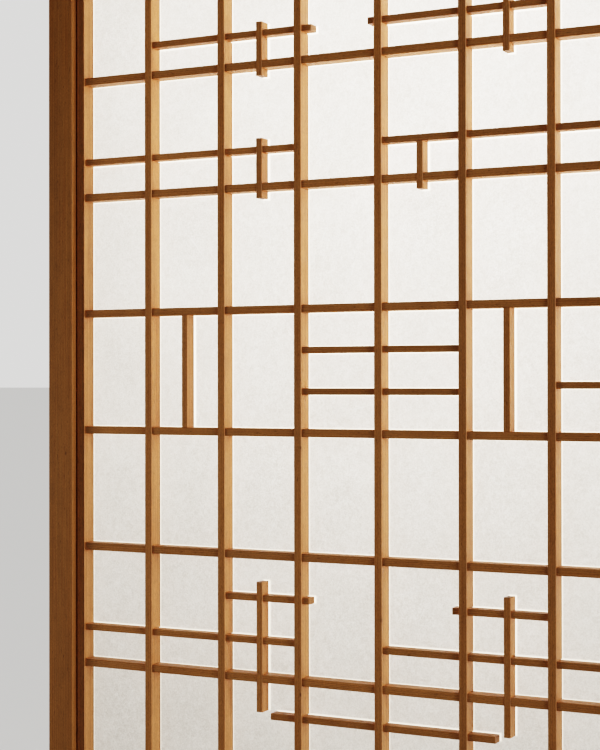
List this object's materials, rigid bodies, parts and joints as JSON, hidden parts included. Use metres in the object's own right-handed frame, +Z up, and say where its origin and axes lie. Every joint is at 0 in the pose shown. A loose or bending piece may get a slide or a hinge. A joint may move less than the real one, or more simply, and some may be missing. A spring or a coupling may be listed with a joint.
{
  "type": "shoji sliding screen",
  "caption": "Wooden shoji leaf with an irregular half-lapped lattice and glued paper, sliding in its own frame of grooved sill, grooved head and jambs.",
  "frame": {"origin": "middle of the frame's underside, where the sill and jambs stand on the floor", "axes": "+X along the frame towards the side where the open leaf stands, +Y from the room side to the far side, +Z up"},
  "size_m": [1.7986, 0.105, 2.0734],
  "materials": {
    "lattice_wood": "planed softwood, aged warm brown",
    "leaf_frame_wood": "planed softwood, aged warm brown",
    "frame_wood": "planed softwood, aged warm brown",
    "runner_wood": "waxed hardwood",
    "paper": "translucent fibre paper, matt"
  },
  "bodies": {
    "frame": {"sill": "frame_wood", "sill_runner": "runner_wood", "head": "frame_wood", "jamb_left": "frame_wood", "jamb_right": "frame_wood"},
    "leaf": {"stile_left": "leaf_frame_wood", "stile_right": "leaf_frame_wood", "rail_bottom": "leaf_frame_wood", "rail_top": "leaf_frame_wood", "inner_frame_left": "lattice_wood", "inner_frame_right": "lattice_wood", "inner_frame_bottom": "lattice_wood", "inner_frame_top": "lattice_wood", "upright_01": "lattice_wood", "upright_02": "lattice_wood", "upright_03": "lattice_wood", "upright_04": "lattice_wood", "upright_05": "lattice_wood", "upright_06": "lattice_wood", "upright_07": "lattice_wood", "crossbar_01": "lattice_wood", "crossbar_02": "lattice_wood", "crossbar_03": "lattice_wood", "crossbar_04": "lattice_wood", "crossbar_05": "lattice_wood", "crossbar_06": "lattice_wood", "crossbar_07": "lattice_wood", "crossbar_08": "lattice_wood", "crossbar_09": "lattice_wood", "crossbar_10": "lattice_wood", "crossbar_11": "lattice_wood", "crossbar_12": "lattice_wood", "accent_upright_01": "lattice_wood", "accent_upright_02": "lattice_wood", "accent_upright_03": "lattice_wood", "accent_upright_04": "lattice_wood", "accent_upright_05": "lattice_wood", "accent_upright_06": "lattice_wood", "accent_upright_07": "lattice_wood", "accent_upright_08": "lattice_wood", "accent_crossbar_01": "lattice_wood", "accent_crossbar_02": "lattice_wood", "accent_crossbar_03": "lattice_wood", "accent_crossbar_04": "lattice_wood", "accent_crossbar_05": "lattice_wood", "accent_crossbar_06": "lattice_wood", "accent_crossbar_07": "lattice_wood", "accent_crossbar_08": "lattice_wood", "accent_crossbar_09": "lattice_wood", "accent_crossbar_10": "lattice_wood", "accent_crossbar_11": "lattice_wood", "accent_crossbar_12": "lattice_wood", "paper": "paper"}
  },
  "joints": [
    {"name": "leaf_slide", "type": "slide", "parent": "frame", "child": "leaf", "axis": [-1, 0, 0], "range_m": [0, 0.8438]}
  ]
}
